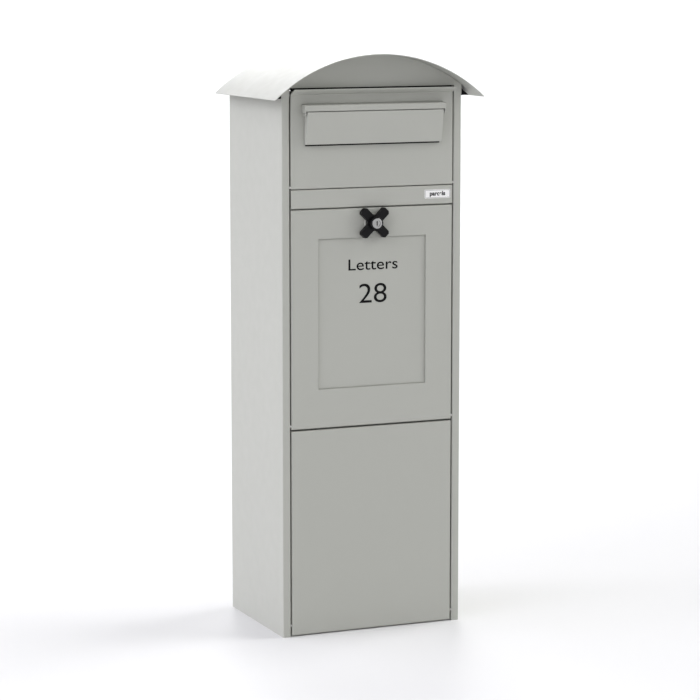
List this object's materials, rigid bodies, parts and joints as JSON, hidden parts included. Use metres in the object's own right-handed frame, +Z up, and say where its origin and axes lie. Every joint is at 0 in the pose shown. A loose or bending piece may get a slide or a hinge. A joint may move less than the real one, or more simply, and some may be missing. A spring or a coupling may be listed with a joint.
{
  "type": "free-standing letter and parcel mailbox",
  "caption": "Folded steel mailbox column with arched roof, letter flap, tip-out parcel hatch, locked mail door and lower panel, bolted to the ground.",
  "frame": {"origin": "centre of the four anchor holes, on the underside of the base plate", "axes": "+Z up, -Y to the front, +X to the right seen from the front"},
  "size_m": [0.463, 0.3447, 1.2],
  "materials": {
    "body_paint": "fine matt powder coat, warm light grey",
    "zinc_steel": "zinc plated",
    "bright_steel": "turned stainless",
    "lock_chrome": "satin nickel plated",
    "label_enamel": "white enamel, blank",
    "knob_plastic": "black moulded, finely textured",
    "rubber": "soft matt",
    "nylon": "natural nylon",
    "magnet_plastic": "moulded case"
  },
  "bodies": {
    "column": {"left_side_panel": "body_paint", "right_side_panel": "body_paint", "back_panel": "body_paint", "back_rivets": "zinc_steel", "base_plate": "zinc_steel", "compartment_floor": "body_paint", "cross_member": "body_paint", "label_plate": "label_enamel", "roof_sheet": "body_paint", "front_gable": "body_paint", "rear_gable": "body_paint", "hatch_seal": "rubber", "eave_strips": "rubber", "pivot_spacers": "nylon", "roof_rails": "zinc_steel", "roof_studs": "zinc_steel", "roof_nuts": "zinc_steel", "hatch_pivot_pins": "bright_steel", "door_pivot_pins": "bright_steel", "lower_pivot_pins": "bright_steel", "door_bumpers": "rubber", "hatch_bumpers": "rubber", "catch_magnets": "magnet_plastic"},
    "hatch": {"hatch_panel": "body_paint", "drip_strip": "rubber", "left_cheek": "body_paint", "right_cheek": "body_paint", "parcel_tray": "body_paint", "tray_rivets": "zinc_steel", "slot_hood": "body_paint", "hood_studs": "zinc_steel", "hood_nuts": "zinc_steel", "flap_pin": "bright_steel", "flap_spring": "bright_steel"},
    "flap": {"letter_flap": "body_paint"},
    "door": {"door_panel": "body_paint", "lock_rosette": "body_paint", "lock_sleeve": "bright_steel", "lock_nut": "zinc_steel"},
    "knob": {"lock_knob": "knob_plastic", "lock_spindle": "bright_steel", "lock_bezel": "lock_chrome", "lock_cam": "zinc_steel", "cam_nut": "zinc_steel"},
    "plug": {"key_plug": "lock_chrome"},
    "lower_door": {"lower_panel": "body_paint", "strike_plates": "zinc_steel"}
  },
  "joints": [
    {"name": "hatch_tilt", "type": "hinge", "parent": "column", "child": "hatch", "pos_m": [0, -0.1468, 0.932], "axis": [1, 0, 0], "range_deg": [0, 58]},
    {"name": "flap_lift", "type": "hinge", "parent": "hatch", "child": "flap", "pos_m": [0, -0.1645, 1.0805], "axis": [-1, 0, 0], "range_deg": [0, 82], "stiffness_Nm_per_rad": 0.02, "springref_deg": -68.75},
    {"name": "door_swing", "type": "hinge", "parent": "column", "child": "door", "pos_m": [0, -0.1468, 0.442], "axis": [1, 0, 0], "range_deg": [0, 95]},
    {"name": "knob_turn", "type": "hinge", "parent": "door", "child": "knob", "pos_m": [0, -0.16, 0.855], "axis": [0, -1, 0], "range_deg": [0, 90]},
    {"name": "key_turn", "type": "hinge", "parent": "knob", "child": "plug", "pos_m": [0, -0.166, 0.855], "axis": [0, -1, 0], "range_deg": [0, 90]},
    {"name": "lower_door_swing", "type": "hinge", "parent": "column", "child": "lower_door", "pos_m": [0, -0.1468, 0.0234], "axis": [1, 0, 0], "range_deg": [0, 90]}
  ]
}
